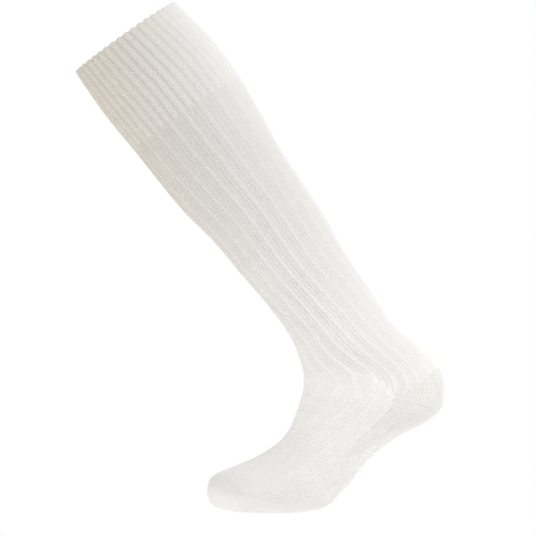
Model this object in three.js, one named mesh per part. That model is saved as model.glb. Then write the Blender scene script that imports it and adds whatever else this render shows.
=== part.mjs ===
// A knee-high wool sock, ribbed down to the heel, filled out as a leg fills it. Millimetres, +Z up.
// The origin is the middle of the mouth, the toe points to -X and one side of the leg faces -Y.
import * as THREE from 'three';

// Knit
const wallThickness = 2.6;
const pieceGap = 0.3;
const cuffRibs = 40;
const cuffRibHeight = 1.8;
const legRibs = 20;
const legRibHeight = 1.4;
const instepRibHeight = 0.9;
const ribFadeLength = 3; // sections over which the instep ribs fade before the toe cap
const slopeStart = 0.125; // a rib's side slopes down between these shares of the pitch from its middle
const slopeEnd = 0.375;

// Mesh density
const columnsPerRib = 4;
const cuffRows = 2;
const legRows = 11;
const heelRows = 4;
const footRows = 9;
const toeRings = [23.4, 24.2, 25, 25.7, 26.4]; // counted in sections
const perimeterSamples = 96;
const normalStep = 0.02;

// Sections of the outer face from the mouth to the toe tip, fanned round the front of the ankle.
// The front point is on the shin or instep, the back point on the calf, heel or sole. halfWidth is half
// the size along Y, egg how much fuller the back is than the front, and split the share of the half girth
// that lies in front of the side line.
const sections = [
  { frontX: -45.5, frontZ: -31.9, backX: 45.5, backZ: 31.9, halfWidth: 42, egg: 0.14, split: 0.5 },
  { frontX: -19.6, frontZ: -69.2, backX: 77.8, backZ: -0.5, halfWidth: 45, egg: 0.16, split: 0.5 },
  { frontX: 6.4, frontZ: -101.5, backX: 102.4, backZ: -34.1, halfWidth: 44.5, egg: 0.18, split: 0.5 },
  { frontX: 30.9, frontZ: -132, backX: 123.8, backZ: -71, halfWidth: 41, egg: 0.18, split: 0.5 },
  { frontX: 53.7, frontZ: -159.2, backX: 142, backZ: -103.7, halfWidth: 36, egg: 0.16, split: 0.5 },
  { frontX: 80.1, frontZ: -185.6, backX: 162.9, backZ: -134.7, halfWidth: 32, egg: 0.12, split: 0.5 },
  { frontX: 103.7, frontZ: -213.8, backX: 181.1, backZ: -162.9, halfWidth: 29, egg: 0.08, split: 0.5 },
  { frontX: 129.2, frontZ: -243.9, backX: 197.5, backZ: -192, halfWidth: 27.5, egg: 0.04, split: 0.5 },
  { frontX: 152, frontZ: -276.6, backX: 214.8, backZ: -218.4, halfWidth: 28, egg: 0, split: 0.51 },
  { frontX: 160.2, frontZ: -300.3, backX: 241.2, backZ: -256.6, halfWidth: 29.5, egg: 0, split: 0.557 },
  { frontX: 161.4, frontZ: -308, backX: 264.8, backZ: -278.5, halfWidth: 30.5, egg: 0, split: 0.58 },
  { frontX: 161.6, frontZ: -313.5, backX: 286, backZ: -300, halfWidth: 31.5, egg: 0, split: 0.595 },
  { frontX: 161.4, frontZ: -318.5, backX: 290.3, backZ: -320.3, halfWidth: 32.5, egg: 0, split: 0.604 },
  { frontX: 160.4, frontZ: -323.5, backX: 286.5, backZ: -337.5, halfWidth: 33, egg: 0, split: 0.61 },
  { frontX: 158.8, frontZ: -329.4, backX: 269.4, backZ: -351.3, halfWidth: 33.5, egg: 0.02, split: 0.62 },
  { frontX: 156.6, frontZ: -336.7, backX: 249.3, backZ: -361.3, halfWidth: 34.5, egg: 0.04, split: 0.64 },
  { frontX: 153.8, frontZ: -344, backX: 232.1, backZ: -373.1, halfWidth: 36, egg: 0.08, split: 0.64 },
  { frontX: 150.2, frontZ: -353.1, backX: 216.7, backZ: -387.7, halfWidth: 38, egg: 0.12, split: 0.61 },
  { frontX: 145.6, frontZ: -360.4, backX: 205.8, backZ: -402.2, halfWidth: 40, egg: 0.16, split: 0.57 },
  { frontX: 139.2, frontZ: -367.6, backX: 195.7, backZ: -413.1, halfWidth: 41.5, egg: 0.2, split: 0.53 },
  { frontX: 129.2, frontZ: -374.9, backX: 182.4, backZ: -425.9, halfWidth: 43, egg: 0.22, split: 0.5 },
  { frontX: 116.5, frontZ: -382.2, backX: 159.2, backZ: -431.3, halfWidth: 43, egg: 0.2, split: 0.49 },
  { frontX: 101.9, frontZ: -388.1, backX: 136.5, backZ: -432.2, halfWidth: 41, egg: 0.16, split: 0.49 },
  { frontX: 89.2, frontZ: -393.1, backX: 114.7, backZ: -431.8, halfWidth: 36.5, egg: 0.1, split: 0.5 },
  { frontX: 81.4, frontZ: -396.8, backX: 98.7, backZ: -430.8, halfWidth: 31, egg: 0.05, split: 0.5 },
  { frontX: 76.4, frontZ: -401.3, backX: 86, backZ: -428.1, halfWidth: 23.5, egg: 0, split: 0.5 },
  { frontX: 74.2, frontZ: -408.4, backX: 77.8, backZ: -423.9, halfWidth: 13.5, egg: 0, split: 0.5 },
  { frontX: 73.4, frontZ: -414.4, backX: 73.4, backZ: -414.4, halfWidth: 0, egg: 0, split: 0.5 },
];

// Borders, counted in sections along the sock
const cuffEnd = 2;
const ankle = 12.55; // where the leg passes into the instep, and the level of the heel's gore
const heelRise = 1.65; // how far the heel's upper edge climbs at the back
const heelDrop = 1.9; // how far its lower edge runs under the foot
const footMiddle = 18;
const toeStart = 22.6;
const tip = sections.length - 1;

// Places round the girth: the side line between the instep and the sole, and the line down the back
const sideLine = 0.25;
const backLine = 0.5;

// Colours
const lightWool = 0xefece4;
const warmWool = 0xe6ded1;
const woolRoughness = 0.95;

// Skin of the sock
const curveOf = (pick) => new THREE.CatmullRomCurve3(sections.map(pick), false, 'catmullrom', 0.5);
const frontCurve = curveOf((s) => new THREE.Vector3(s.frontX, 0, s.frontZ));
const backCurve = curveOf((s) => new THREE.Vector3(s.backX, 0, s.backZ));
const sideCurve = curveOf((s) => new THREE.Vector3(s.halfWidth, s.egg, s.split));

// The section at a place along the sock, with the girth measured from the front to the back
function sectionAt(along) {
  const t = THREE.MathUtils.clamp(along / tip, 0, 1);
  const front = frontCurve.getPoint(t);
  const back = backCurve.getPoint(t);
  const side = sideCurve.getPoint(t);
  const middle = front.clone().add(back).multiplyScalar(0.5);
  const half = front.clone().sub(middle);
  const point = (angle) => {
    const p = middle.clone().addScaledVector(half, Math.cos(angle));
    p.y = -side.x * Math.sin(angle) * (1 - side.y * Math.cos(angle));
    return p;
  };
  const lengths = [0];
  for (let i = 1; i <= perimeterSamples; i++) {
    const from = point(Math.PI * (i - 1) / perimeterSamples);
    lengths.push(lengths[i - 1] + from.distanceTo(point(Math.PI * i / perimeterSamples)));
  }
  return { point, lengths, split: side.z };
}

// A point of the skin. around runs from 0 at the front over the -Y side to 0.5 at the back and on to 1,
// and an even step of it is an even number of knitted wales.
function skinPoint(along, around) {
  const section = sectionAt(along);
  const turn = around - Math.floor(around);
  const half = 2 * Math.min(turn, 1 - turn);
  const share = half < 0.5
    ? 2 * half * section.split
    : section.split + (2 * half - 1) * (1 - section.split);
  const total = section.lengths[perimeterSamples];
  const target = share * total;
  let i = 1;
  while (i < perimeterSamples && section.lengths[i] < target) {
    i++;
  }
  const step = section.lengths[i] - section.lengths[i - 1];
  const part = step > 0 ? (target - section.lengths[i - 1]) / step : 0;
  const angle = Math.PI * (i - 1 + part) / perimeterSamples;
  return section.point(turn <= 0.5 ? angle : -angle);
}

function skinNormal(along, around) {
  const a = Math.min(along, tip - 2 * normalStep);
  const down = skinPoint(a + normalStep, around).sub(skinPoint(Math.max(a - normalStep, 0), around));
  const spread = normalStep / 2;
  const round = skinPoint(a, around + spread).sub(skinPoint(a, around - spread));
  return down.cross(round).normalize();
}

const raised = (along, around, height) =>
  skinPoint(along, around).addScaledVector(skinNormal(along, around), height);

// How far along, or around, one millimetre reaches at a place on the skin
function alongPerMillimetre(along, around) {
  const from = Math.max(along - normalStep, 0);
  return (along + normalStep - from) / skinPoint(from, around).distanceTo(skinPoint(along + normalStep, around));
}

function aroundPerMillimetre(along, around) {
  const step = normalStep / 4;
  return 2 * step / skinPoint(along, around - step).distanceTo(skinPoint(along, around + step));
}

// Rib relief: flat top, slope, flat valley, slope, with one rib on the front line of the sock
function ribProfile(around, count) {
  const phase = around * count - Math.round(around * count);
  return THREE.MathUtils.clamp((slopeEnd - Math.abs(phase)) / (slopeEnd - slopeStart), 0, 1) - 0.5;
}

// Borders of the heel pocket
const heelShape = (around) => Math.sin(Math.PI * 2 * Math.max(sideLine - Math.abs(around - backLine), 0));
const heelTop = (around) => ankle - heelRise * heelShape(around);
const heelBottom = (around) => ankle + heelDrop * heelShape(around);
const legEnd = (around) => (Math.abs(around - backLine) < sideLine ? heelTop(around) : ankle);

// Columns of the mesh at the middle of each quarter of a rib, from one place around the sock to another
function columnsBetween(from, to, count) {
  const columns = [];
  for (let i = Math.ceil(from * count - 0.5); (i + 0.5) / count < to; i++) {
    columns.push((i + 0.5) / count);
  }
  return columns;
}

function addQuad(faces, a, b, c, d) {
  faces.push(a, b, c, a, c, d);
}

// A wall of knitting between two borders. Rows run along the sock and columns around it, both faces have
// the same grid, and the rims join them. A closed wall goes all the way round.
function knitWall({ columns, rows, start, end, relief, closed }) {
  const outer = [];
  const inner = [];
  for (let r = 0; r <= rows; r++) {
    for (const around of columns) {
      const from = start(around);
      const along = from + (end(around) - from) * r / rows;
      outer.push(raised(along, around, relief(along, around)));
      inner.push(raised(along, around, -wallThickness));
    }
  }
  const width = columns.length;
  const spans = closed ? width : width - 1;
  const offset = outer.length;
  const faces = [];
  for (let r = 0; r < rows; r++) {
    for (let c = 0; c < spans; c++) {
      const next = (c + 1) % width;
      const [a, b] = [r * width + c, r * width + next];
      const [d, e] = [a + width, b + width];
      addQuad(faces, a, d, e, b);
      addQuad(faces, offset + a, offset + b, offset + e, offset + d);
    }
  }
  for (let c = 0; c < spans; c++) {
    const next = (c + 1) % width;
    const last = rows * width;
    addQuad(faces, c, next, offset + next, offset + c);
    addQuad(faces, last + next, last + c, offset + last + c, offset + last + next);
  }
  for (let r = 0; r < rows && !closed; r++) {
    const [a, d] = [r * width, (r + 1) * width];
    const [b, e] = [a + width - 1, d + width - 1];
    addQuad(faces, a, offset + a, offset + d, d);
    addQuad(faces, b, e, offset + e, offset + b);
  }
  return solid([...outer, ...inner], faces);
}

function solid(points, faces) {
  const geometry = new THREE.BufferGeometry();
  geometry.setAttribute('position', new THREE.Float32BufferAttribute(points.flatMap((p) => p.toArray()), 3));
  geometry.setIndex(faces);
  geometry.computeVertexNormals();
  return geometry;
}

// A border moved off its line by half the gap between two pieces
const before = (border) => (around) => {
  const along = border(around);
  return along - alongPerMillimetre(along, around) * pieceGap / 2;
};
const after = (border) => (around) => {
  const along = border(around);
  return along + alongPerMillimetre(along, around) * pieceGap / 2;
};

const at = (along) => () => along;
const flat = () => 0;
const ribColumns = legRibs * columnsPerRib;
const sideGap = aroundPerMillimetre(footMiddle, sideLine) * pieceGap;

const cuffRelief = (along, around) => cuffRibHeight * ribProfile(around, cuffRibs);
const legRelief = (along, around) => legRibHeight * ribProfile(around, legRibs);

function instepRelief(along, around) {
  const fade = THREE.MathUtils.clamp((toeStart - along) / ribFadeLength, 0, 1);
  return instepRibHeight * fade * ribProfile(around, legRibs);
}

function cuffGeometry() {
  const columns = columnsBetween(0, 1, cuffRibs * columnsPerRib);
  const end = before(at(cuffEnd));
  return knitWall({ columns, rows: cuffRows, start: at(0), end, relief: cuffRelief, closed: true });
}

function legGeometry() {
  const columns = columnsBetween(0, 1, ribColumns);
  const start = after(at(cuffEnd));
  return knitWall({ columns, rows: legRows, start, end: before(legEnd), relief: legRelief, closed: true });
}

// The instep lies in front of the two side lines, the heel and sole behind them
function instepGeometry() {
  const edge = sideLine - sideGap / 2;
  const columns = [-edge, ...columnsBetween(-edge, edge, ribColumns), edge];
  const end = before(at(toeStart));
  return knitWall({ columns, rows: footRows, start: after(at(ankle)), end, relief: instepRelief, closed: false });
}

function behindSides() {
  const edge = sideLine + sideGap / 2;
  return [edge, ...columnsBetween(edge, 1 - edge, ribColumns), 1 - edge];
}

function heelGeometry() {
  const columns = behindSides();
  const start = after(heelTop);
  return knitWall({ columns, rows: heelRows, start, end: before(heelBottom), relief: flat, closed: false });
}

function soleGeometry() {
  const columns = behindSides();
  const end = before(at(toeStart));
  return knitWall({ columns, rows: footRows, start: after(heelBottom), end, relief: flat, closed: false });
}

// The toe cap closes on one point inside and one outside
function toeGeometry() {
  const columns = columnsBetween(0, 1, ribColumns);
  const width = columns.length;
  const borders = [after(at(toeStart)), ...toeRings.map(at)];
  const rings = borders.map((border) => columns.map((around) => {
    const along = border(around);
    return [raised(along, around, 0), raised(along, around, -wallThickness)];
  }));
  const outer = rings.flatMap((ring) => ring.map((pair) => pair[0]));
  const inner = rings.flatMap((ring) => ring.map((pair) => pair[1]));
  const outerTip = skinPoint(tip, 0);
  const heading = outerTip.clone().sub(skinPoint(tip - 1, 0).add(skinPoint(tip - 1, 0.5)).multiplyScalar(0.5));
  const innerTip = outerTip.clone().addScaledVector(heading.normalize(), -wallThickness);
  const points = [...outer, ...inner, outerTip, innerTip];
  const offset = outer.length;
  const faces = [];
  for (let c = 0; c < width; c++) {
    const next = (c + 1) % width;
    for (let r = 0; r < toeRings.length; r++) {
      const [a, b] = [r * width + c, r * width + next];
      addQuad(faces, a, a + width, b + width, b);
      addQuad(faces, offset + a, offset + b, offset + b + width, offset + a + width);
    }
    const last = toeRings.length * width;
    faces.push(last + c, 2 * offset, last + next);
    faces.push(offset + last + c, offset + last + next, 2 * offset + 1);
    addQuad(faces, c, next, offset + next, offset + c);
  }
  return solid(points, faces);
}

const sock = new THREE.Group();

function addPiece(name, geometry, color) {
  const material = new THREE.MeshStandardMaterial({ color, roughness: woolRoughness, metalness: 0 });
  const mesh = new THREE.Mesh(geometry, material);
  mesh.name = name;
  sock.add(mesh);
}

addPiece('cuff', cuffGeometry(), warmWool);
addPiece('leg', legGeometry(), warmWool);
addPiece('heel', heelGeometry(), lightWool);
addPiece('instep', instepGeometry(), lightWool);
addPiece('sole', soleGeometry(), lightWool);
addPiece('toe', toeGeometry(), lightWool);

export default sock;
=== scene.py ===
# Knee-high ribbed wool sock, off-white, filled out and standing as a leg fills it
import math
import bpy
import numpy as np
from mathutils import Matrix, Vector


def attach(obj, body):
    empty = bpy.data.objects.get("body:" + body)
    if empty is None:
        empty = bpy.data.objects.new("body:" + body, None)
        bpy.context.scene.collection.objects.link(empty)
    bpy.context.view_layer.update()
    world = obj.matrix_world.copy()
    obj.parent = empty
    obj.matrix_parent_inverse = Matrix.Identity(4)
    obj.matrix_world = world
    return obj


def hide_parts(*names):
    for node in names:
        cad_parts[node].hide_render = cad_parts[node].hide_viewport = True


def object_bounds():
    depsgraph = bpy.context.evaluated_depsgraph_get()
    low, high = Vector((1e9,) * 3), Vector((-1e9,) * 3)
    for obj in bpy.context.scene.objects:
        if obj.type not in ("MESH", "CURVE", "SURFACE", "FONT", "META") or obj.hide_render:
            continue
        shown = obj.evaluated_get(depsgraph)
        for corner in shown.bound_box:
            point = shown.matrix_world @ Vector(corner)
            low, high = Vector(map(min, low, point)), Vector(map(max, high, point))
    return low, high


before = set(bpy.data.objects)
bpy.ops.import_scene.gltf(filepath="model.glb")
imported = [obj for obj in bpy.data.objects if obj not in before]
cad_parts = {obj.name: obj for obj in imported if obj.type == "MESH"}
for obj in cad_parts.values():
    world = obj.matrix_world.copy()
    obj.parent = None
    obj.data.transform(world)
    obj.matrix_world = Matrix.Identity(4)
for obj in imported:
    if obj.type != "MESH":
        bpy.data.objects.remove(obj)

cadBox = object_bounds()
mm = 0.001

# The form of the sock in millimetres. Each section is a cut from the shin or instep (front) to the calf,
# heel or sole (back), from the mouth down to the tip of the toe, fanned round the front of the ankle.
# halfWidth is half the size across, egg how much fuller the back is, and split the share of the half
# girth in front of the side line.
sockForm = {
    "columns": ["frontX", "frontZ", "backX", "backZ", "halfWidth", "egg", "split"],
    "sections": [
        [-45.5, -31.9, 45.5, 31.9, 42, 0.14, 0.5],
        [-19.6, -69.2, 77.8, -0.5, 45, 0.16, 0.5],
        [6.4, -101.5, 102.4, -34.1, 44.5, 0.18, 0.5],
        [30.9, -132, 123.8, -71, 41, 0.18, 0.5],
        [53.7, -159.2, 142, -103.7, 36, 0.16, 0.5],
        [80.1, -185.6, 162.9, -134.7, 32, 0.12, 0.5],
        [103.7, -213.8, 181.1, -162.9, 29, 0.08, 0.5],
        [129.2, -243.9, 197.5, -192, 27.5, 0.04, 0.5],
        [152, -276.6, 214.8, -218.4, 28, 0, 0.51],
        [160.2, -300.3, 241.2, -256.6, 29.5, 0, 0.557],
        [161.4, -308, 264.8, -278.5, 30.5, 0, 0.58],
        [161.6, -313.5, 286, -300, 31.5, 0, 0.595],
        [161.4, -318.5, 290.3, -320.3, 32.5, 0, 0.604],
        [160.4, -323.5, 286.5, -337.5, 33, 0, 0.61],
        [158.8, -329.4, 269.4, -351.3, 33.5, 0.02, 0.62],
        [156.6, -336.7, 249.3, -361.3, 34.5, 0.04, 0.64],
        [153.8, -344, 232.1, -373.1, 36, 0.08, 0.64],
        [150.2, -353.1, 216.7, -387.7, 38, 0.12, 0.61],
        [145.6, -360.4, 205.8, -402.2, 40, 0.16, 0.57],
        [139.2, -367.6, 195.7, -413.1, 41.5, 0.2, 0.53],
        [129.2, -374.9, 182.4, -425.9, 43, 0.22, 0.5],
        [116.5, -382.2, 159.2, -431.3, 43, 0.2, 0.49],
        [101.9, -388.1, 136.5, -432.2, 41, 0.16, 0.49],
        [89.2, -393.1, 114.7, -431.8, 36.5, 0.1, 0.5],
        [81.4, -396.8, 98.7, -430.8, 31, 0.05, 0.5],
        [76.4, -401.3, 86, -428.1, 23.5, 0, 0.5],
        [74.2, -408.4, 77.8, -423.9, 13.5, 0, 0.5],
        [73.4, -414.4, 73.4, -414.4, 0, 0, 0.5],
    ],
    "cuffEnd": 2,          # borders of the fields, counted in sections
    "ankle": 12.55,
    "heelRise": 1.65,
    "heelDrop": 1.9,
    "toeStart": 22.6,
    "toeCap": 0.25,        # sections between the last row of the toe and its tip
    "wall": 2.6,
}
sideTurn = 0.25            # share of a turn from the front line to the side line
tiny = 1e-12               # keeps divisions off zero

# Knitting: stitches in a round, size of a course, and how far each pattern stands out, in millimetres
knit = {
    "wales": 160,
    "courseHeight": 1.7,   # size of a stitch down the sock
    "plainShare": 0.75,    # share of those stitches that the heel, sole and toe have
    "ribWale": 0.25,       # roundness of the wales on the ribs
    "footWale": 0.4,       # and on the heel, sole and toe
    "waleLevel": 0.5,      # height in the wales' chart that lies on the form
    "cuffRib": 0.7,
    "legRib": 0.8,
    "instepRib": 0.22,
    "insideRib": 0.6,
    "ribLevel": 0.9,       # height in the ribs' charts that lies on the form
    "cuffShift": 2,        # stitches from the start of a rib on the leg to that of one on the cuff
    "toneStrength": 1.05,  # how strongly the charts' painted shade and highlight show
    "calfStretchAndSideLight": 0.8,    # share by which ribs, tones and stitches thin where the calf stretches them, which also thins the tones' painted shade and highlight on that side, where the side lights fall
    "stretchTone": 10,     # how much darker the smooth stretched wool is, in parts of a hundred
    "fullWale": 1.7,       # stitches narrower than this, in millimetres, are shallower too
    "cuffTone": 3,         # how much lighter the cuff's denser knitting is, in parts of a hundred
    "drift": 0.15,         # how far the ribs wander, in stitches
    "uneven": 0.08,        # how much their height varies
    "rimRound": 1.5,       # how far the mouth's edge is rounded up
    "rimTurn": 144,        # degrees that the outside turns over it
    "scallop": 1.3,        # how far the mouth's edge draws back between the ribs
}

# How softly one pattern gives way to the next: sections past the border where it starts and ends to
# change, and for the calf shares of a turn from the front
changes = {
    "cuffEnd": (-0.035, 0.035),
    "heelTop": (-0.05, 0.05),
    "crease": (-0.6, 0.4),      # from the leg's ribs to the instep's
    "instepRibs": (-3.5, -0.3),     # the instep's ribs run out before the toe
    "plainToe": (-1, 0.3),
    "tipStitches": (-0.6, 1.2),     # and the toe's stitches run out past its start
    "calf": (0.22, 0.4),
}

sections = np.array(sockForm["sections"], float)
tip = len(sections) - 1
ends = np.vstack([2 * sections[0] - sections[1], sections, 2 * sections[-1] - sections[-2]])


def smoothStep(low, high, value):
    t = np.clip((value - low) / (high - low), 0, 1)
    return t * t * (3 - 2 * t)


def sectionValues(along):
    place = np.clip(along, 0, tip)
    i = np.minimum(np.floor(place).astype(int), tip - 1)
    t = (place - i)[..., None]
    p0, p1, p2, p3 = ends[i], ends[i + 1], ends[i + 2], ends[i + 3]
    v0, v1 = (p2 - p0) / 2, (p3 - p1) / 2
    return ((2 * (p1 - p2) + v0 + v1) * t + (3 * (p2 - p1) - 2 * v0 - v1)) * t * t + v0 * t + p1


def pointOnSection(values, angle):
    frontX, frontZ, backX, backZ, halfWidth, egg, split = np.moveaxis(values, -1, 0)
    x = (frontX + backX) / 2 + (frontX - backX) / 2 * np.cos(angle)
    y = -halfWidth * np.sin(angle) * (1 - egg * np.cos(angle))
    z = (frontZ + backZ) / 2 + (frontZ - backZ) / 2 * np.cos(angle)
    return np.stack([x, y, z], -1)


# Where an even step round the girth falls on each section: a map from place and share to angle
mapSteps = {"perSection": 16, "angles": 128, "shares": 256, "lengths": 48}
mapAlong = np.linspace(0, tip, tip * mapSteps["perSection"] + 1)
mapAngles = np.linspace(0, math.pi, mapSteps["angles"] + 1)
mapShares = np.linspace(0, 1, mapSteps["shares"] + 1)


def girthMap():
    rows = pointOnSection(sectionValues(mapAlong)[:, None, :], mapAngles[None, :])
    steps = np.linalg.norm(np.diff(rows, axis=1), axis=2) + tiny
    length = np.concatenate([np.zeros((len(mapAlong), 1)), np.cumsum(steps, 1)], 1)
    return np.array([np.interp(mapShares, row / row[-1], mapAngles) for row in length])


angleMap = girthMap()


def readMap(table, along, share):
    row, column = along * mapSteps["perSection"], share * (table.shape[1] - 1)
    i = np.clip(np.floor(row).astype(int), 0, table.shape[0] - 2)
    j = np.clip(np.floor(column).astype(int), 0, table.shape[1] - 2)
    u, v = row - i, column - j
    upper = table[i, j] * (1 - v) + table[i, j + 1] * v
    lower = table[i + 1, j] * (1 - v) + table[i + 1, j + 1] * v
    return upper * (1 - u) + lower * u


def skin(along, around):
    values = sectionValues(along)
    turn = around - np.floor(around)
    half = 2 * np.minimum(turn, 1 - turn)
    split = values[..., sockForm["columns"].index("split")]
    share = np.where(half < 0.5, 2 * half * split, split + (2 * half - 1) * (1 - split))
    angle = readMap(angleMap, np.clip(along, 0, tip), share)
    return pointOnSection(values, np.where(turn <= 0.5, angle, -angle))


def unit(vectors):
    return vectors / np.maximum(np.linalg.norm(vectors, axis=-1, keepdims=True), tiny)


# Outward normal, way down the sock and size of a turn, measured over short steps and off the very tip
frameSteps = {"along": 0.02, "around": 0.005, "tip": 0.3}


def skinFrame(along, around):
    alongStep, aroundStep = frameSteps["along"], frameSteps["around"]
    place = np.clip(along, alongStep, tip - frameSteps["tip"])
    down = (skin(place + alongStep, around) - skin(place - alongStep, around)) / (2 * alongStep)
    across = (skin(place, around + aroundStep) - skin(place, around - aroundStep)) / (2 * aroundStep)
    return unit(np.cross(down, across)), down, np.linalg.norm(across, axis=-1)


def heelShape(around):
    turn = around - np.floor(around)
    return np.sin(2 * math.pi * np.maximum(sideTurn - np.abs(turn - 0.5), 0))


def heelTop(around):
    return sockForm["ankle"] - sockForm["heelRise"] * heelShape(around)


def heelBottom(around):
    return sockForm["ankle"] + sockForm["heelDrop"] * heelShape(around)


# Length of knitting from the mouth down each line of stitches, for counting the courses
def lengthMap():
    turns = np.linspace(0, 0.5, mapSteps["lengths"] + 1)
    lines = skin(*np.meshgrid(mapAlong, turns, indexing="ij"))
    steps = np.linalg.norm(np.diff(lines, axis=0), axis=2)
    return np.concatenate([np.zeros((1, len(turns))), np.cumsum(steps, 0)])


lengths = lengthMap()


def fromFront(around):
    turn = around - np.floor(around)
    return np.minimum(turn, 1 - turn)


# In front of the ankle the ribs run on straight to a shallow crease, and bend there into the instep
crease = {
    "front": 9.6,          # where it lies on the front line, in sections; it meets the ankle at the sides
    "curve": 2.3,
    "shift": 3.0,          # how far the ribs have moved round by there, in stitches
    "above": 2.6,          # sections over which they do so
    "below": 6,            # and over which they come back
    "legReach": (0.2, 0.4),     # shares of a turn from the front where that fades on the leg
    "footReach": (0.1, 0.25),   # and on the foot
    "turnover": (-0.7, 1.3),    # sections past the crease where the one gives way to the other
    "sideTurnover": 5,     # and how many sections sooner that ends, a turn from the front
    "depth": 0.5,
    "width": 1.5,
    "creaseReach": (0.13, 0.2),     # shares of a turn from the front where the crease itself ends
}


def pastCrease(along, around):
    share = np.clip(fromFront(around) / sideTurn, 0, 1)
    return along - crease["front"] - (sockForm["ankle"] - crease["front"]) * share ** crease["curve"]


# How far the ribs turn round the leg on their way down: place in sections, turn in stitches
ribTurn = {
    "place": [0, 1.2, 2.2, 3.0, 3.6, 4.4, 5.4, 6.2, 6.8, 7.4, 8.2, 9.2],
    "stitches": [0.1, 1.9, 2.35, 3.4, 5.1, 5.7, 5.4, 4.95, 5.8, 7.9, 10.5, 12],
}


def ribShift(along, around):
    past = pastCrease(along, around)
    front = fromFront(around)
    start, end = crease["turnover"]
    below = smoothStep(start, end - crease["sideTurnover"] * np.minimum(front, sideTurn), past)
    onLeg = 1 - smoothStep(*crease["legReach"], front)
    onFoot = 1 - smoothStep(*crease["footReach"], front)
    reach = onLeg * (1 - below) + onFoot * below
    there = np.clip(1 + past / crease["above"], 0, 1) * (1 - smoothStep(0, crease["below"], past))
    return crease["shift"] * reach * there + np.interp(along, ribTurn["place"], ribTurn["stitches"])


def stitchPlace(along, around):
    length = readMap(lengths, np.clip(along, 0, tip), 2 * fromFront(around))
    return around * knit["wales"] - ribShift(along, around), length / knit["courseHeight"]


# One repeat of each pattern: place in stitches, height as a share of the rib's or wale's, and how many
# parts in a hundred the wool is lighter there, as painted light: painted shade in the hollows and painted
# highlight on the crowns and edges that face the lights
cuffChart = {
    "place": [0, 0.45, 0.95, 1.4, 2.05, 2.5, 3.0, 3.5, 4],
    "height": [-0.1, 0.75, 0.95, 0.9, 1, 0.75, 0.3, 0.1, -0.1],
    "tone": [-5, -1, 7, -1.5, 10, 1, 1.5, -2, -5],
}
legChart = {
    "place": [0, 0.3, 0.8, 1.2, 1.6, 2.1, 2.5, 2.8, 3.3, 3.9, 4.3, 4.65, 5.7, 6.6, 7.3, 7.7, 8],
    "height": [
        -0.15, 0.25, 0.5, 0.42, 0.5, 0.25, 0.75, 0.95, 0.88, 1, 0.75, 0.2, 0.05, 0.1, 0, -0.05, -0.15],
    "tone": [-5, -0.5, 1.5, 0.5, 1.5, -3.5, 0, 2.5, 0, 7, 2.5, 0, -1, 0.5, -0.5, -1, -5],
}
waleChart = {
    "place": [0, 0.25, 0.5, 0.75, 1],
    "height": [-1, 0.1, 0.6, 0.1, -1],
    "tone": [-15, 3, 7, 3, -15],
}


def charted(chart, row, wale):
    repeat = chart["place"][-1]
    return np.interp(wale - repeat * np.floor(wale / repeat), chart["place"], chart[row])


# Slow waves in the knitting: radians a section, radians a stitch, and radians at the start
waves = {
    "wander": (1.7, 0.31, 0),
    "fineWander": (3.9, -0.47, 1.3),
    "height": (2.3, 0.9, 0),
    "slowHeight": (0.8, 0.37, 0),
}
fineShare = 0.6


def wave(name, along, wale):
    perSection, perStitch, start = waves[name]
    return np.sin(perSection * along + perStitch * wale + start)


def wander(along, wale):
    return (wave("wander", along, wale) + fineShare * wave("fineWander", along, wale)) / (1 + fineShare)


def ribStrength(along, around):
    behind = fromFront(around) > sideTurn
    onLeg = 1 - smoothStep(*changes["heelTop"], along - heelTop(around))
    bend = smoothStep(*changes["crease"], pastCrease(along, around))
    fade = 1 - smoothStep(*changes["instepRibs"], along - sockForm["toeStart"])
    onInstep = (1 - bend) * knit["legRib"] + bend * knit["instepRib"]
    return np.where(behind, onLeg * knit["legRib"], onInstep * fade)


# The gore lines, where the heel and toe pockets turn, stand up a little. Their starts and fades are
# shares of their reach, but the heel's start is in shares of a turn
gores = {
    "height": 0.55,
    "width": 1.1,
    "bumps": 0.4,          # how much the height varies from one stitch to the next
    "holeShade": 11,         # painted shade in the holes between the bumps: how much darker they are, in parts of a hundred
    "toeDots": 0.5,        # share of that on the toe
    "heelPlace": 0.05,     # sections past the ankle where the heel's line starts
    "heelReach": 0.17,     # share of the girth that it runs back from the side
    "heelSlope": 0.3,      # sections that it drops on the way
    "heelStart": (-0.004, 0.006),
    "heelFade": (0.85, 1),
    "toePlace": 0.15,      # sections past the toe's start where its two lines start
    "lowerReach": 2.6,     # sections that the lower one runs towards the tip
    "lowerDrop": 0.112,    # share of the girth that it drops on the way
    "lowerStart": (0, 0.05),
    "lowerFade": (0.7, 0.9),
    "upperReach": 0.11,    # share of the girth that the upper one runs up
    "upperSlope": 0.5,     # sections that it runs on towards the tip on the way
    "upperShare": 0.5,     # how high it is beside the lower one
    "upperStart": (-0.05, 0.05),
    "upperFade": (0.7, 1),
}


def creaseRelief(along, around, alongSize):
    off = pastCrease(along, around) * alongSize / crease["width"]
    reach = 1 - smoothStep(*crease["creaseReach"], fromFront(around))
    return -crease["depth"] * np.exp(-off ** 2) * reach


# A raised line: off is the distance from its middle in widths, it rises in as start passes the two values
# of starts, and it fades out as run, the share of its reach, passes those of fades
def ridge(off, start, starts, run, fades):
    return np.exp(-off ** 2) * smoothStep(*starts, start) * (1 - smoothStep(*fades, run))


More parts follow.
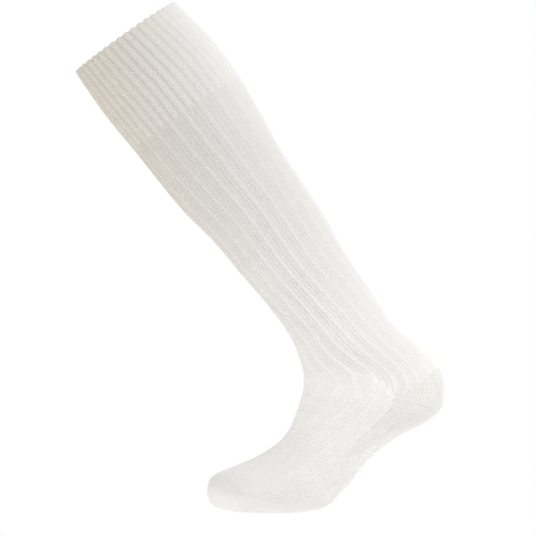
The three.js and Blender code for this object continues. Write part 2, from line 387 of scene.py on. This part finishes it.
def goreLines(along, around):
    down, aroundSize = skinFrame(along, around)[1:]
    alongSize = np.linalg.norm(down, axis=-1) / gores["width"]
    aroundSize = aroundSize / gores["width"]
    back = fromFront(around) - sideTurn
    run = back / gores["heelReach"]
    line = sockForm["ankle"] + gores["heelPlace"] + gores["heelSlope"] * np.clip(run, 0, 1)
    heelGore = ridge((along - line) * alongSize, back, gores["heelStart"], run, gores["heelFade"])
    past = along - sockForm["toeStart"] - gores["toePlace"]
    run = past / gores["lowerReach"]
    off = (back - gores["lowerDrop"] * run) * aroundSize
    lower = ridge(off, run, gores["lowerStart"], run, gores["lowerFade"])
    run = -back / gores["upperReach"]
    off = (past - gores["upperSlope"] * run) * alongSize
    upper = ridge(off, run, gores["upperStart"], run, gores["upperFade"])
    bumps = np.sin(math.pi * around * knit["wales"])
    return heelGore, np.maximum(lower, gores["upperShare"] * upper), bumps


def goreRelief(along, around):
    heelGore, toeGore, bumps = goreLines(along, around)
    return gores["height"] * (heelGore + toeGore) * (1 + gores["bumps"] * bumps)


def cuffShare(along):
    return 1 - smoothStep(*changes["cuffEnd"], along - sockForm["cuffEnd"])


# How much of the cuff's, the leg's and the plain pattern there is
def zones(along, around):
    cuffness = cuffShare(along)
    legness = (1 - cuffness) * ribStrength(along, around)
    behind = fromFront(around) > sideTurn
    onHeel = np.where(behind, smoothStep(*changes["heelTop"], along - heelTop(around)), 0)
    onToe = smoothStep(*changes["plainToe"], along - sockForm["toeStart"])
    return cuffness, legness, np.maximum(onHeel, onToe)


# Thinning of ribs, tones and stitches on the calf side, where the calf stretches them and the side lights
# fall; the tones' painted shade and highlight fade with it
def stretchAndSideLight(along, around):
    ribbed = 1 - zones(along, around)[2]
    return knit["calfStretchAndSideLight"] * ribbed * smoothStep(*changes["calf"], fromFront(around))


def towardsTip(along):
    return 1 - smoothStep(*changes["tipStitches"], along - sockForm["toeStart"])


def driftingWale(along, around):
    wale = around * knit["wales"] - ribShift(along, around)
    return wale + knit["drift"] * wander(along, wale)


def outside(along, around):
    wale = driftingWale(along, around)
    cuffness, legness, plainness = zones(along, around)
    uneven = 1 + knit["uneven"] * wave("height", along, wale) * wave("slowHeight", along, wale)
    cuffHeight = charted(cuffChart, "height", wale - knit["cuffShift"]) - knit["ribLevel"]
    legHeight = charted(legChart, "height", wale) - knit["ribLevel"]
    ribs = (cuffness * knit["cuffRib"] * cuffHeight + legness * legHeight) * uneven
    ribbedHeight = charted(waleChart, "height", wale) - knit["waleLevel"]
    plainHeight = charted(waleChart, "height", wale * knit["plainShare"]) - knit["waleLevel"]
    wales = knit["ribWale"] * (1 - plainness) * ribbedHeight + knit["footWale"] * plainness * plainHeight
    return ribs * (1 - stretchAndSideLight(along, around)) + wales * towardsTip(along)


# Lightness of the wool from the same charts: their painted shade and highlight, fading on the calf side
# where the side lights fall, and painted shade in the gore holes
def paintedLightTone(along, around):
    wale = driftingWale(along, around)
    cuffness, legness, plainness = zones(along, around)
    leg = legness / knit["legRib"]
    cuffTone = charted(cuffChart, "tone", wale - knit["cuffShift"])
    tone = cuffness * cuffTone + leg * charted(legChart, "tone", wale)
    looseAndShaded = 1 - stretchAndSideLight(along, around)
    tone = looseAndShaded * tone - (1 - looseAndShaded) * knit["stretchTone"] + cuffness * knit["cuffTone"]
    plainTone = charted(waleChart, "tone", wale * knit["plainShare"])
    tone = tone + plainness * towardsTip(along) * plainTone
    heelGore, toeGore, bumps = goreLines(along, around)
    holeShading = gores["holeShade"] * (heelGore + gores["toeDots"] * toeGore) * np.maximum(-bumps, 0)
    return 1 + 0.01 * knit["toneStrength"] * (tone - holeShading)


# How clearly single stitches show, in their bumps and in the painted shade between them: less where they
# are stretched on the calf side, and less where they are narrow
def stitchShow(along, around):
    waleSize = skinFrame(along, around)[2] / knit["wales"]
    return (1 - stretchAndSideLight(along, around)) * np.minimum(waleSize / knit["fullWale"], 1)


# Inside the cuff the ribs run straight, and at the mouth they stand behind the furrows of the outside
def inside(along, around):
    height = charted(cuffChart, "height", around * knit["wales"]) - knit["waleLevel"]
    return -sockForm["wall"] - knit["insideRib"] * cuffShare(along) * height


# Points of the knitting: rim is the angle by which the outside has turned over the mouth's edge
def surface(along, around, rim=0, inner=False):
    point = skin(along, around)
    normal, down = skinFrame(along, around)[:2]
    outer = outside(along, around) + goreRelief(along, around)
    outer = outer + creaseRelief(along, around, np.linalg.norm(down, axis=-1))
    share = 0 if inner else (1 + np.cos(rim)) / 2
    height = outer * share + inside(along, around) * (1 - share)
    ribs = charted(cuffChart, "height", driftingWale(along, around) - knit["cuffShift"])
    lift = (knit["rimRound"] + knit["scallop"] * (ribs - knit["ribLevel"])) * np.sin(rim)
    return mm * (point + normal * height[..., None] - unit(down) * lift[..., None])


# Short steps over which the normals are measured: sections, stitches and radians
normalSteps = {"along": 0.012, "stitches": 0.14, "rim": 0.05}


def surfaceNormals(along, around, rim):
    alongStep, rimStep = normalSteps["along"], normalSteps["rim"]
    aroundStep = normalSteps["stitches"] / knit["wales"]
    onRim = np.broadcast_to(rim > 0, along.shape)[..., None]
    place = np.clip(along, alongStep, tip - frameSteps["tip"])
    down = surface(place + alongStep, around, rim) - surface(place - alongStep, around, rim)
    over = surface(along, around, rim - rimStep) - surface(along, around, rim + rimStep)
    across = surface(along, around + aroundStep, rim) - surface(along, around - aroundStep, rim)
    return unit(np.cross(np.where(onRim, over, down), across))


def tipPoints():
    last = skin(np.array([tip - 1.0, tip - 1.0]), np.array([0.0, 0.5])).mean(0)
    outerTip = skin(np.array([float(tip)]), np.array([0.0]))[0]
    heading = unit(outerTip - last)
    return mm * outerTip, mm * (outerTip - heading * sockForm["wall"]), heading


# Meshes. Rows of each piece down its length are counted in steps of the inner mesh, which is coarser
pieceRows = {
    "rim": 4,              # this one in steps of the outer mesh
    "cuff": 22,
    "leg": 36,
    "heel": 11,
    "foot": 20,
    "toe": 9,
}
innerStep = 4              # outer mesh steps to one inner step
wholeRound = np.arange(4 * knit["wales"]) / (4 * knit["wales"])
behindSides = np.linspace(sideTurn, 1 - sideTurn, 2 * knit["wales"] + 1)
beforeSides = np.linspace(-sideTurn, sideTurn, 2 * knit["wales"] + 1)


# Rows that round the mouth's edge go before those of the outside, with the angles that they have turned
def withRim(rows):
    turned = np.linspace(math.radians(knit["rimTurn"]), 0, pieceRows["rim"] + 1)
    return np.pad(rows, (pieceRows["rim"], 0)), np.pad(turned, (0, len(rows) - 1))


def gridFaces(ids, outward):
    corners = [ids[:-1, :-1], ids[1:, :-1], ids[1:, 1:], ids[:-1, 1:]]
    if not outward:
        corners = [corners[0]] + corners[:0:-1]
    return np.stack(corners, -1).reshape(-1, 4).tolist()


# Faces between the outer and the inner edge, each as long as one inner step
def edgeFaces(outer, inner, forward):
    faces = []
    for j in range(len(inner) - 1):
        edge = outer[innerStep * j:innerStep * (j + 1) + 1].tolist()
        face = edge + inner[j:j + 2].tolist()[::-1]
        faces.append(face if forward else face[::-1])
    return faces


def shellFaces(outerShape, innerShape, wraps, closesAtTip):
    outer = np.arange(math.prod(outerShape)).reshape(outerShape)
    inner = outer.size + np.arange(math.prod(innerShape)).reshape(innerShape)
    outerTip = outer.size + inner.size
    if wraps:
        outer = np.hstack([outer, outer[:, :1]])
        inner = np.hstack([inner, inner[:, :1]])
    faces = gridFaces(outer, True) + gridFaces(inner, False) + edgeFaces(outer[0], inner[0], True)
    if closesAtTip:
        faces += [[a, outerTip, b] for a, b in zip(outer[-1, :-1].tolist(), outer[-1, 1:].tolist())]
        faces += [[a, b, outerTip + 1] for a, b in zip(inner[-1, :-1].tolist(), inner[-1, 1:].tolist())]
    else:
        faces += edgeFaces(outer[-1], inner[-1], False)
    if not wraps:
        faces += edgeFaces(outer[:, 0], inner[:, 0], False)
        faces += edgeFaces(outer[:, -1], inner[:, -1], True)
    return faces


# Values at the outer points, then at the inner ones, then at the two points of the tip if there are any
def atPoints(outer, inner, tips):
    size = outer.shape[2:]
    parts = [outer, inner, np.array(tips, float)]
    return np.concatenate([part.reshape(-1, *size) for part in parts])


def closedShell(name, columns, start, end, count, hasRim=False, closesAtTip=False):
    rows = np.linspace(0, 1, count * innerStep + 1)
    innerRows = rows[::innerStep]
    rims = 0 * rows
    if hasRim:
        rows, rims = withRim(rows)
    start, end = start + 0 * columns, end + 0 * columns
    along = start + (end - start) * rows[:, None]
    around = columns + 0 * along
    innerAlong = (start + (end - start) * innerRows[:, None])[:, ::innerStep]
    innerAround = columns[::innerStep] + 0 * innerAlong
    wale, course = stitchPlace(along, around)
    innerWale, innerCourse = stitchPlace(innerAlong, innerAround)
    lastCourse = max(course.max(), innerCourse.max())
    tone, show = paintedLightTone(along, around), stitchShow(along, around)
    even = np.ones(innerAlong.shape)
    outerTip, innerTip, heading = tipPoints()
    outer = surface(along, around, rims[:, None])
    inner = surface(innerAlong, innerAround, inner=True)
    normal = surfaceNormals(along, around, rims[:, None])
    innerNormal = -skinFrame(innerAlong, innerAround)[0]
    values = {
        "point": (outer, inner, [outerTip, innerTip]),
        "normal": (normal, innerNormal, [heading, -heading]),
        "wale": (wale, innerWale, [0, 0]),
        "course": (course, innerCourse, [lastCourse, lastCourse]),
        "tone": (tone, even, [tone[-1, -1], 1]),
        "show": (show, even, [show[-1, -1], 1]),
    }
    for key, (onOutside, onInside, tips) in values.items():
        values[key] = atPoints(onOutside, onInside, tips if closesAtTip else [])
    faces = shellFaces(along.shape, innerAlong.shape, columns is wholeRound, closesAtTip)
    return meshObject(name, faces, values)


# Where a face crosses the seam, its low stitch numbers go on past the highest
def pastSeam(mesh, wale):
    starts = np.empty(len(mesh.polygons), int)
    sizes = np.empty(len(mesh.polygons), int)
    mesh.polygons.foreach_get("loop_start", starts)
    mesh.polygons.foreach_get("loop_total", sizes)
    highest = np.repeat(np.maximum.reduceat(wale, starts), sizes)
    return np.where(highest - wale > knit["wales"] / 2, wale + knit["wales"], wale)


def meshObject(name, faces, values):
    mesh = bpy.data.meshes.new(name)
    mesh.from_pydata(values["point"].tolist(), [], faces)
    corners = np.empty(len(mesh.loops), int)
    mesh.loops.foreach_get("vertex_index", corners)
    layer = mesh.uv_layers.new(name="stitches")
    wale = pastSeam(mesh, values["wale"][corners])
    layer.data.foreach_set("uv", np.stack([wale, values["course"][corners]], 1).ravel())
    for key in ("tone", "show"):
        mesh.attributes.new(key, "FLOAT", "POINT").data.foreach_set("value", values[key])
    mesh.polygons.foreach_set("use_smooth", np.ones(len(mesh.polygons), bool))
    mesh.normals_split_custom_set_from_vertices(values["normal"].tolist())
    mesh.validate()
    mesh.update()
    obj = bpy.data.objects.new(name, mesh)
    bpy.context.scene.collection.objects.link(obj)
    return obj


def makeCuff():
    return closedShell("cuffKnit", wholeRound, 0, sockForm["cuffEnd"], pieceRows["cuff"], hasRim=True)


def makeLeg():
    return closedShell("legKnit", wholeRound, sockForm["cuffEnd"], heelTop(wholeRound), pieceRows["leg"])


def makeHeel():
    start, end = heelTop(behindSides), heelBottom(behindSides)
    return closedShell("heelKnit", behindSides, start, end, pieceRows["heel"])


def makeInstep():
    start, end = sockForm["ankle"], sockForm["toeStart"]
    return closedShell("instepKnit", beforeSides, start, end, pieceRows["foot"])


def makeSole():
    start, end = heelBottom(behindSides), sockForm["toeStart"]
    return closedShell("soleKnit", behindSides, start, end, pieceRows["foot"])


def makeToe():
    start, end = sockForm["toeStart"], tip - sockForm["toeCap"]
    return closedShell("toeKnit", wholeRound, start, end, pieceRows["toe"], closesAtTip=True)


# Off-white wool, duller up the leg, with painted warm shade over the front of cuff and calf that fades
# across them and down
wool = {
    "legColor": (0.825, 0.811, 0.781, 1),
    "warmShadeColor": (0.74, 0.665, 0.56, 1),
    "footHeights": (-0.1, -0.3),    # metres up, where the leg's colour starts to give way and has done so
    "warmShadeHeights": (-0.34, -0.16),  # and where the painted warm shade starts and is full
    "warmShade": 0.42,        # share of the painted warm shade at the middle of the mouth
    "warmShadeAcross": -7,    # its change a metre towards the heel
    "warmShadeUp": -2.5,      # and a metre up
    "legGapShade": 0.34,       # how dark the painted shade between the stitches is at the mouth
    "patches": {"scale": 28, "detail": 4, "roughness": 0.5},
    "mottle": 0.01,        # how much the patches differ
    "stitchChance": 0.02,  # how much one stitch differs from the next
    "slant": -0.6,         # courses that a stitch rises towards its middle
    "strandEdge": 0.6,     # how steep the sides of a strand are, less is steeper
    "fibres": {"scale": 900, "detail": 5, "roughness": 0.7},
    "fuzz": 0.12,          # height of the fibres beside that of the stitches
    "bumpDepth": 0.0007,   # height of both, in metres
    "surface": {
        "Roughness": 0.95,
        "Sheen Weight": 0.2,
        "Sheen Roughness": 0.6,
        "Specular IOR Level": 0.2,
    },
}

# What differs between the ribbed and the plain fields: the colour on the foot, whose difference is
# painted light, lighter on the plain heel, sole and toe, which get less light, and darker on the ribbed
# instep, which gets more; how dark the painted shade between the stitches is there, how deep the stitches
# are, and the share of the stitches in a round
yarns = {
    "ribbed_wool": {
        "name": "ribbedYarn",
        "foot": (0.835, 0.823, 0.792, 1),
        "gapShade": 0.06,
        "depth": 0.35,
        "waleShare": 1.0,
    },
    "plain_wool": {
        "name": "plainYarn",
        "foot": (0.92, 0.909, 0.876, 1),
        "gapShade": 0.2,
        "depth": 0.5,
        "waleShare": knit["plainShare"],
    },
}


def addNode(tree, kind, inputs=(), **settings):
    node = tree.nodes.new(kind)
    for key, value in settings.items():
        setattr(node, key, value)
    for socket, value in inputs:
        if isinstance(value, bpy.types.NodeSocket):
            tree.links.new(value, node.inputs[socket])
        else:
            node.inputs[socket].default_value = value
    return node


def calc(tree, operation, first, second=0.0, third=0.0):
    inputs = [(0, first), (1, second), (2, third)]
    return addNode(tree, "ShaderNodeMath", inputs, operation=operation).outputs[0]


def ramp(tree, value, ends):
    return addNode(tree, "ShaderNodeMapRange", [(0, value), (1, ends[0]), (2, ends[1])]).outputs[0]


def mixColor(tree, share, first, second):
    inputs = [(0, share), (6, first), (7, second)]
    return addNode(tree, "ShaderNodeMix", inputs, data_type="RGBA").outputs[2]


def noise(tree, place, look):
    inputs = [("Scale", look["scale"]), ("Detail", look["detail"]), ("Roughness", look["roughness"])]
    return addNode(tree, "ShaderNodeTexNoise", [("Vector", place)] + inputs).outputs[0]


def attribute(tree, name):
    return addNode(tree, "ShaderNodeAttribute", attribute_name=name).outputs["Fac"]


# Height of a stitch: two slanting strands side by side, in each course of each wale
def stitchHeight(tree, waleShare):
    place = addNode(tree, "ShaderNodeUVMap", uv_map="stitches").outputs[0]
    parts = addNode(tree, "ShaderNodeSeparateXYZ", [(0, place)]).outputs
    side = calc(tree, "FRACT", calc(tree, "MULTIPLY", parts[0], waleShare))
    side = calc(tree, "ABSOLUTE", calc(tree, "SUBTRACT", side, 0.5))
    side = calc(tree, "MULTIPLY", side, 2.0)
    row = calc(tree, "FRACT", calc(tree, "MULTIPLY_ADD", side, wool["slant"], parts[1]))
    strand = calc(tree, "SINE", calc(tree, "MULTIPLY", row, math.pi))
    leg = calc(tree, "SINE", calc(tree, "MULTIPLY", side, math.pi))
    leg = calc(tree, "POWER", calc(tree, "MAXIMUM", leg, 0.0), wool["strandEdge"])
    return calc(tree, "MULTIPLY", strand, leg)


def stitchChance(tree):
    place = addNode(tree, "ShaderNodeUVMap", uv_map="stitches").outputs[0]
    cell = addNode(tree, "ShaderNodeVectorMath", [(0, place)], operation="FLOOR").outputs[0]
    inputs = [("Vector", cell)]
    chance = addNode(tree, "ShaderNodeTexWhiteNoise", inputs, noise_dimensions="2D").outputs[0]
    return calc(tree, "MULTIPLY_ADD", chance, 2 * wool["stitchChance"], 1 - wool["stitchChance"])


# Share of the painted warm shade at a point, from its place across and up the sock
def warmShadeShare(tree, spot):
    warm = calc(tree, "MULTIPLY_ADD", spot[0], wool["warmShadeAcross"], wool["warmShade"])
    warm = calc(tree, "MULTIPLY_ADD", spot[2], wool["warmShadeUp"], warm)
    warm = calc(tree, "MINIMUM", calc(tree, "MAXIMUM", warm, 0.0), 1.0)
    return calc(tree, "MULTIPLY", warm, ramp(tree, spot[2], wool["warmShadeHeights"]))


# Colour factor: painted shade between the stitches and the tone attribute's painted shade and highlight,
# times the wool's own patchy mottle and stitch-to-stitch differences
def woolShade(tree, here, footness, stitch, footGapShade):
    gapShade = calc(tree, "MULTIPLY_ADD", footness, footGapShade - wool["legGapShade"], wool["legGapShade"])
    gapShadeFactor = calc(tree, "SUBTRACT", 1.0, calc(tree, "MULTIPLY", gapShade, calc(tree, "SUBTRACT", 1.0, stitch)))
    patches = noise(tree, here, wool["patches"])
    mottle = calc(tree, "MULTIPLY_ADD", patches, 2 * wool["mottle"], 1 - wool["mottle"])
    shade = calc(tree, "MULTIPLY", gapShadeFactor, mottle)
    shade = calc(tree, "MULTIPLY", shade, stitchChance(tree))
    return calc(tree, "MULTIPLY", shade, attribute(tree, "tone"))


def woolMaterial(yarn):
    material = bpy.data.materials.new(yarn["name"])
    material.use_nodes = True
    tree = material.node_tree
    shader = tree.nodes["Principled BSDF"]
    here = addNode(tree, "ShaderNodeTexCoord").outputs["Object"]
    spot = addNode(tree, "ShaderNodeSeparateXYZ", [(0, here)]).outputs
    relief = calc(tree, "SUBTRACT", stitchHeight(tree, yarn["waleShare"]), 0.5)
    stitch = calc(tree, "MULTIPLY_ADD", relief, attribute(tree, "show"), 0.5)
    footness = ramp(tree, spot[2], wool["footHeights"])
    base = mixColor(tree, footness, wool["legColor"], yarn["foot"])
    # painted warm shade over the front of cuff and calf
    base = mixColor(tree, warmShadeShare(tree, spot), base, wool["warmShadeColor"])
    shade = woolShade(tree, here, footness, stitch, yarn["gapShade"])
    color = addNode(tree, "ShaderNodeVectorMath", [(0, base), (3, shade)], operation="SCALE").outputs[0]
    tree.links.new(color, shader.inputs["Base Color"])
    stitchDepth = calc(tree, "MULTIPLY", stitch, yarn["depth"])
    height = calc(tree, "MULTIPLY_ADD", noise(tree, here, wool["fibres"]), wool["fuzz"], stitchDepth)
    bumpInputs = [("Strength", 1.0), ("Distance", wool["bumpDepth"]), ("Height", height)]
    tree.links.new(addNode(tree, "ShaderNodeBump", bumpInputs).outputs[0], shader.inputs["Normal"])
    for key, value in wool["surface"].items():
        shader.inputs[key].default_value = value
    return material


materials = {slot: woolMaterial(yarn) for slot, yarn in yarns.items()}
print("wool materials ready")

pieceTable = [
    ("cuff", makeCuff, "ribbed_wool"),
    ("leg", makeLeg, "ribbed_wool"),
    ("instep", makeInstep, "ribbed_wool"),
    ("heel", makeHeel, "plain_wool"),
    ("sole", makeSole, "plain_wool"),
    ("toe", makeToe, "plain_wool"),
]
for node, make, slot in pieceTable:
    piece = make()
    piece.data.materials.append(materials[slot])
    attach(piece, "root")
    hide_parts(node)
    print("knitted the", node, "with", len(piece.data.polygons), "faces")

# Floor below the toe, wide and pale
floorShape = {"below": 0.16, "radius": 0.62, "sides": 96, "color": (0.9, 0.9, 0.9, 1)}


def makeFloor():
    low, high = cadBox
    middle = ((low.x + high.x) / 2, 0, low.z - floorShape["below"])
    sides, radius = floorShape["sides"], floorShape["radius"]
    bpy.ops.mesh.primitive_circle_add(vertices=sides, radius=radius, fill_type="NGON", location=middle)
    floor = bpy.context.object
    floor.name = "floor"
    material = bpy.data.materials.new("pale_floor")
    material.use_nodes = True
    material.node_tree.nodes["Principled BSDF"].inputs["Base Color"].default_value = floorShape["color"]
    floor.data.materials.append(material)


makeFloor()

# White room with a key light in front at the upper right, an edge light at the right, and a fill that
# stands in for the light that a white table throws up at the foot
studio = {
    "roomColor": (1, 1, 1, 1),
    "roomStrength": 1.0,
    "key": {"place": (2.1, -0.7, 0.95), "aim": (0.14, 0, -0.2), "power": 12, "size": 0.7},
    "edge": {"place": (1.5, 0.5, 0.9), "aim": (0.1, 0, -0.05), "power": 9, "size": 0.7},
    "fill": {"place": (0.02, -0.42, -0.57), "aim": (0.12, 0, -0.41), "power": 0.72, "size": 0.35},
}


def aimAt(obj, target):
    direction = Vector(target) - obj.location
    obj.rotation_euler = direction.to_track_quat("-Z", "Y").to_euler()


def makeRoom():
    world = bpy.data.worlds.new("white_room")
    world.use_nodes = True
    background = world.node_tree.nodes["Background"].inputs
    background[0].default_value = studio["roomColor"]
    background[1].default_value = studio["roomStrength"]
    bpy.context.scene.world = world


def makeLamp(name):
    lamp = studio[name]
    light = bpy.data.lights.new(name, "AREA")
    light.energy = lamp["power"]
    light.size = lamp["size"]
    holder = bpy.data.objects.new(name, light)
    holder.location = lamp["place"]
    bpy.context.scene.collection.objects.link(holder)
    aimAt(holder, lamp["aim"])


makeRoom()
for lampName in ("key", "edge", "fill"):
    makeLamp(lampName)
bpy.context.scene.view_settings.view_transform = "Standard"

# Level camera square on to the side of the sock. The middle of the mouth, which is the origin, stands at
# originPixel in a square picture of picturePixels, and a pixel there is pixelSize metres at the sock
cameraView = {
    "distance": 3.2,
    "picturePixels": 536,
    "originPixel": (126, 38),
    "pixelSize": 0.00091,
    "sensor": 36,
}


def makeCamera():
    size = cameraView["pixelSize"]
    middle = cameraView["picturePixels"] / 2
    across, down = cameraView["originPixel"]
    lens = bpy.data.cameras.new("camera")
    lens.sensor_width = cameraView["sensor"]
    lens.lens = lens.sensor_width * cameraView["distance"] / (cameraView["picturePixels"] * size)
    camera = bpy.data.objects.new("camera", lens)
    camera.location = ((middle - across) * size, -cameraView["distance"], (down - middle) * size)
    camera.rotation_euler = (math.pi / 2, 0, 0)
    bpy.context.scene.collection.objects.link(camera)
    bpy.context.scene.camera = camera


makeCamera()
print("camera and light ready")
